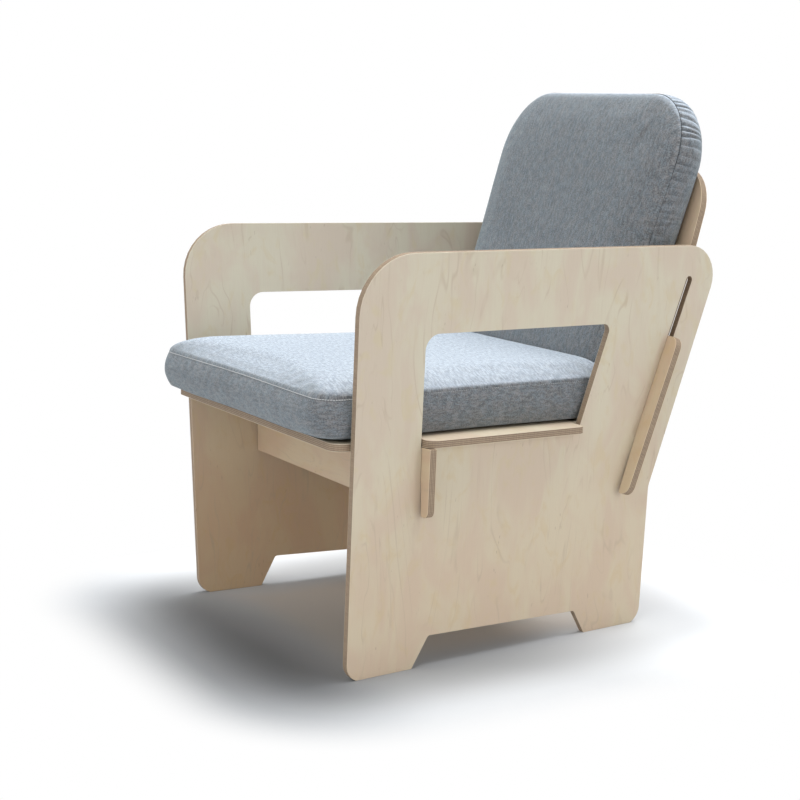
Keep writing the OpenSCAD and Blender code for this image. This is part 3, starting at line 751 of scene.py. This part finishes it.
def solid_of_rings(name, points, ends):
    """A closed mesh from rings of points, whose ends are closed by fans to a point each. Points
    is (rings, around, 3), or (copies, rings, around, 3) for many small solids in one mesh."""
    points = points if points.ndim == 4 else points[None]
    ends = ends if ends.ndim == 3 else ends[None]
    copies, rings, around = points.shape[:3]
    ring = np.arange(rings * around).reshape(rings, around)
    after = np.roll(ring, -1, axis=1)
    quads = np.stack([ring[:-1], after[:-1], after[1:], ring[1:]], axis=2).reshape(-1, 4)
    first = np.stack([after[0], ring[0], np.full(around, ring.size)], axis=1)
    last = np.stack([ring[-1], after[-1], np.full(around, ring.size + 1)], axis=1)
    fans = np.concatenate([first, last])
    start = (np.arange(copies) * (ring.size + 2))[:, None, None]
    quads, fans = (quads[None] + start).reshape(-1, 4), (fans[None] + start).reshape(-1, 3)
    vertices = np.concatenate([points.reshape(copies, -1, 3), ends], axis=1).reshape(-1, 3)
    corners = np.concatenate([quads.ravel(), fans.ravel()])
    starts = np.concatenate([np.arange(0, quads.size, 4),
                             quads.size + np.arange(0, fans.size, 3)])
    return smooth_piece(name, vertices, corners, starts)


def stitches(name, form, length, pitch, thick, proud):
    """Stitches along a cushion's upper seam: rounded rods along the seam's tangent, whose radius
    follows a half sine of their length, set proud of it by a value for each point of the rim."""
    path = np.concatenate([grid_edge(form["top"]), form["top"][0, :1]])
    way = np.concatenate([form["way"], form["way"][:1]])
    at = np.concatenate([[0], np.cumsum(np.linalg.norm(np.diff(path, axis=0), axis=1))])
    count = int(at[-1] / pitch)
    share = np.array([0.0, 0.12, 0.5, 0.88, 1.0])
    centre = (np.arange(count) + 0.5)[:, None] * at[-1] / count + (share - 0.5) * length
    spine = np.stack([np.interp(centre, at, path[:, c], period=at[-1]) for c in range(3)], axis=2)
    out = np.stack([np.interp(centre, at, way[:, c], period=at[-1]) for c in range(2)]
                   + [np.full(centre.shape, 0.9)], axis=2)
    out /= np.linalg.norm(out, axis=2, keepdims=True)
    along = spine[:, -1:] - spine[:, :1]
    side = np.cross(np.broadcast_to(along, out.shape), out)
    side /= np.linalg.norm(side, axis=2, keepdims=True)
    turn = np.linspace(0, 2 * np.pi, 7)[:-1]
    radius = thick / 2 * np.array([0.45, 0.9, 1.0, 0.9, 0.45])[None, :, None, None]
    middle = spine + out * np.interp(centre, at, np.append(proud, proud[0]))[..., None]
    points = middle[:, :, None] + radius * (np.cos(turn)[:, None] * side[:, :, None]
                                            + np.sin(turn)[:, None] * out[:, :, None])
    return solid_of_rings(name, points, middle[:, [0, -1]])


def patterned(name, kind, pattern, colours, bump, surface, result="Fac", **settings):
    """A material whose colour runs between two and whose bump (a strength and a depth) rises with
    the result of one pattern node. Pattern and surface are the values of its two main nodes."""
    material, tree = new_material(name)
    place = add_node(tree, "ShaderNodeTexCoord").outputs["Object"]
    marks = add_node(tree, kind, {"Vector": place, **pattern}, **settings).outputs[result]
    show(tree, add_node(tree, "ShaderNodeBsdfPrincipled", {
        "Base Color": mix(tree, marks, *colours), "Normal": bumped(tree, marks, *bump),
        **surface}))
    return material


def thread_material(name, colour):
    """Matt twisted thread, whose strands show as fine slanting bands along the stitch."""
    return patterned(name, "ShaderNodeTexWave", {"Scale": 900.0, "Distortion": 0.5},
                     (colour, [0.72 * c for c in colour]), (0.4, 0.0001), {"Roughness": 0.7},
                     bands_direction="DIAGONAL")


# The seam sinks into the pile along the sides and the rear
front_turn = np.minimum(np.abs(seat_form["turn"] - 0.5), 4.5 - seat_form["turn"])
seam_proud = 0.0004 - 0.0012 * np.clip((front_turn - 0.62) / 0.12, 0, 1)
seat_thread = stitches("seat_seam_stitches", seat_form, 0.0034, 0.0041, 0.0013, seam_proud)
seat_thread.data.transform(seat_place)
seat_thread.data.materials.append(thread_material("pale_thread", (0.72, 0.74, 0.75)))
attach(seat_thread, "seat_cushion")

# Filling: in each cover, a sleeve of polyester wadding round a block of soft foam. Both are cut
# to the cover's own form, a little smaller each time, and are closed in with it.
wadding = patterned("polyester_wadding", "ShaderNodeTexNoise",
                    {"Scale": 420.0, "Detail": 5.0, "Distortion": 2.5},
                    ((0.72, 0.72, 0.70), (0.86, 0.86, 0.85)), (0.7, 0.001),
                    {"Roughness": 0.95, "Sheen Weight": 0.5})
foam = patterned("open_cell_foam", "ShaderNodeTexVoronoi", {"Scale": 900.0},
                 ((0.56, 0.49, 0.26), (0.84, 0.76, 0.48)), (0.8, 0.0006), {"Roughness": 0.9},
                 "Distance")


def filling(name, coarse, depth, place, node, body, material):
    """A layer inside a cover: its coarse form with each point moved in along its normal."""
    layer = cushion_mesh(name, coarse)
    count = len(layer.data.vertices)
    points, normals = np.empty(count * 3), np.empty(count * 3)
    layer.data.vertices.foreach_get("co", points)
    layer.data.vertex_normals.foreach_get("vector", normals)
    layer.data.vertices.foreach_set("co", points - depth * normals)
    layer.data.transform(place)
    layer.data.materials.append(material)
    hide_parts(node)
    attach(layer, body)


filling("seat_wadding_sleeve", seat_coarse, 0.0045, seat_place, "seat_wadding", "seat_cushion",
        wadding)
filling("seat_foam_block", seat_coarse, 0.0100, seat_place, "seat_foam", "seat_cushion",
        foam)

# Back cushion: the same make, leaning on the back board with its lower end flat on the seat
# cushion. Its cover is gathered round the large top corners, where the side strip puckers.
back_frame = Matrix(((1, 0, 0, 0),
                     (0, math.sin(recline), -math.cos(recline), panel_edge_y + back_y),
                     (0, math.cos(recline), math.sin(recline), 0), (0, 0, 0, 1)))
back_full = [(-0.2565, 0.397, 0.040, 0.0), (0.2515, 0.397, 0.040, 0.005),
             (0.2515, 0.8995, 0.104, 0.0), (-0.2565, 0.8995, 0.104, 0.005)]
back_shape = {
    "corners": [(-0.2565, 0.4655, 0.006, 0.0), (0.2515, 0.4655, 0.006, 0.005)] + back_full[2:],
    "full": back_full, "seam": 0.064, "crown": 0.027, "power": 6, "low": 0.004,
    "swell": (0.0, 0.0052, 0.0056, 0.006), "tuck": (0.001, 0.013, 0.010, 0.013),
    "lift": (0, 0, 0.004, 0.004), "slope": math.tan(recline - fall)}
back_form, back_coarse = swollen("back_blow_up", back_shape,
                                 graded(0.50, 0.0055, seam_steps, -0.09),
                                 graded(0.407, 0.0055, seam_steps, 0.20), strip_rows,
                                 0.0, (0.0010, 0.0004))
sewn(back_form, 0.0021, 0.0023, seam_steps)


def gathers(at, rows, seed):
    """Puckers of a strip at distances along it and shares of its height: narrow creases, from a
    sine whose phase drifts with a slow random walk and leans with the height, so that no two are
    alike. The result is 0 on a ridge and -1 in a crease."""
    drift, count, spacing = np.random.default_rng(seed), 90, 0.0130
    knots = np.linspace(0, at[-1] + 0.02, count)
    phase = np.interp(at, knots, np.cumsum(drift.normal(0, 0.75, count)))
    lean = np.interp(at, knots, drift.normal(0, 1.0, count))
    depth = np.interp(at, knots, drift.uniform(0.25, 1.0, count))
    run = np.interp(at, knots, drift.uniform(0.35, 1.1, count))
    t = 1 - rows[:, None]
    wave = np.abs(np.sin(np.pi * at / spacing + phase + lean * 1.5 * t))
    return -np.exp(-(wave / 0.42) ** 2) * depth * np.exp(-(t / run) ** 2)


# Gathers are deepest round the top corners and die out down the sides and towards the middle. A
# few faint ones are left half way down each side
turn = back_form["turn"]
corner_far = np.minimum(np.abs(turn - 2), np.abs(turn - 3))
side_far = np.minimum(np.abs(turn - 1.5), np.abs(turn - 3.5))
at_corner = np.where((turn > 1) & (turn < 4), np.exp(-(corner_far / 0.52) ** 2), 0.0)
at_corner = np.maximum(at_corner, 0.35 * np.exp(-(side_far / 0.3) ** 2))
pucker = gathers(back_form["rim_at"], strip_rows[1:-1], 7) * at_corner
pucker_depth = 0.0056
back_form["strip"][..., :2] += back_form["way"] * (pucker * pucker_depth)[..., None]
back_pad = cushion_mesh("back_cushion_cover", back_form)
back_place = back_frame @ Matrix.Translation((0, 0, 0.0004))
back_pad.data.transform(back_place)
back_pad.data.materials.append(chenille)
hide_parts("back_cover")
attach(back_pad, "back_cushion")
back_proud = 0.0003 - 0.0010 * np.clip((corner_far - 0.16) / 0.12, 0, 1)
back_thread = stitches("back_seam_stitches", back_form, 0.0037, 0.0040, 0.0013, back_proud)
back_thread.data.transform(back_place)
back_thread.data.materials.append(thread_material("grey_thread", (0.055, 0.060, 0.068)))
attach(back_thread, "back_cushion")
filling("back_wadding_sleeve", back_coarse, 0.0050, back_place, "back_wadding", "back_cushion",
        wadding)
filling("back_foam_block", back_coarse, 0.0105, back_place, "back_foam", "back_cushion",
        foam)


# Zips: one in the rear side strip of the seat cushion and one in the lower strip of the back
# cushion. Each has two woven tapes, a coil of teeth between them, a cast slider and its pull.
def zip_ribbon(name, length, width, thick):
    """A closed zip along X: a flat oval section with a ridge down its middle (a Gaussian), whose
    height follows a squared sine along the length, one wave for each tooth."""
    step, tooth = 0.0004, 0.0016
    along = np.linspace(-length / 2, length / 2, int(length / step) + 1)
    turn = np.linspace(0, 2 * np.pi, 23)[:-1]
    across = np.sign(np.cos(turn)) * np.abs(np.cos(turn)) ** 0.7 * width / 2
    high = thick * 0.25 * (1 + np.sign(np.sin(turn)) * np.abs(np.sin(turn)) ** 0.5)
    ridge = np.exp(-(across / 0.0015) ** 2) * (np.sin(turn) > 0) * thick * 0.5
    teeth = 0.4 + 0.6 * np.sin(np.pi * along / tooth) ** 2
    points = np.stack(np.broadcast_arrays(along[:, None], across[None],
                                          high[None] + ridge[None] * teeth[:, None]), axis=2)
    ends = np.array([[x, 0.0, thick * 0.25] for x in along[[0, -1]]])
    return solid_of_rings(name, points, ends)


def zip_slider(name, length):
    """A slider and its pull in one mesh. Each is a row of rounded oblong sections (superellipses)
    along X: the body is waisted, and the pull narrows behind its eye and ends in a round tab."""
    turn = np.linspace(0, 2 * np.pi, 25)[:-1]
    oblong = np.stack([np.sign(np.cos(turn)) * np.abs(np.cos(turn)) ** 0.5,
                       np.sign(np.sin(turn)) * np.abs(np.sin(turn)) ** 0.5], axis=1)
    x0, share = -length / 2 + 0.0065, np.sin(np.linspace(-np.pi / 2, np.pi / 2, 17))
    body = (-0.0045, 0.0045, 0.0060, 0.0014, 0.0019, 0.25)
    pull = (0.0, 0.024, 0.0036, 0.0012, 0.0033, 0.35)
    solids = []
    for start, end, wide, thick, low, waist in (body, pull):
        at = (start + end) / 2 + share * (end - start) / 2
        narrow = 1 - waist * np.exp(-((share + 0.25) / 0.3) ** 2)
        half = wide / 2 * (1 - share ** 8) ** 0.5 * narrow
        up = thick / 2 * (1 - share ** 12 * 0.5)
        solids.append(np.stack([np.broadcast_to(x0 + at[:, None], (len(at), len(turn))),
                                half[:, None] * oblong[None, :, 0],
                                low + thick / 2 + up[:, None] * oblong[None, :, 1]], axis=2))
    points = np.stack(solids)
    return solid_of_rings(name, points, points[:, [0, -1]].mean(axis=2))


# Woven nylon tape with rows of yarn across it, and brushed nickel for the slider
zip_tape = patterned("zip_tape", "ShaderNodeTexWave",
                     {"Scale": 420.0, "Distortion": 0.6, "Detail": 1.0},
                     ((0.11, 0.12, 0.13), (0.19, 0.20, 0.215)), (0.5, 0.0002),
                     {"Roughness": 0.6}, bands_direction="X")
zip_nickel, tree = new_material("zip_nickel")
place = add_node(tree, "ShaderNodeTexCoord").outputs["Object"]
brushed = noise(tree, place, (60.0, 2400.0, 2400.0), 3.0, 0.0, 0.5)
show(tree, add_node(tree, "ShaderNodeBsdfPrincipled", {
    "Base Color": (0.52, 0.52, 0.53, 1.0), "Metallic": 1.0,
    "Roughness": span(tree, brushed, 0.0, 1.0, 0.28, 0.48, "LINEAR")}))

seat_zip_place = (seat_frame @ Matrix.Translation((0, 0.54694, 0.0477))
                  @ Matrix.Rotation(-math.pi / 2, 4, "X"))
back_zip_place = (back_place @ Matrix.Translation((0, 0.45955, 0.019))
                  @ Matrix.Rotation(recline - fall, 4, "X")
                  @ Matrix.Translation((0, -0.0003, 0)) @ Matrix.Rotation(math.pi / 2, 4, "X"))
for name, length, place in (("seat", 0.42, seat_zip_place), ("back", 0.38, back_zip_place)):
    tape = zip_ribbon(name + "_zip_tape", length, 0.009, 0.0016)
    slider = zip_slider(name + "_zip_pull", length)
    for piece, node, body, slot, material in (
            (tape, name + "_zip", name + "_cushion", "zip_tape", zip_tape),
            (slider, name + "_zip_slider", name + "_zip_slider", "zip_metal", zip_nickel)):
        piece.data.transform(place)
        piece.data.materials.append(material)
        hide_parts(node)
        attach(piece, body)
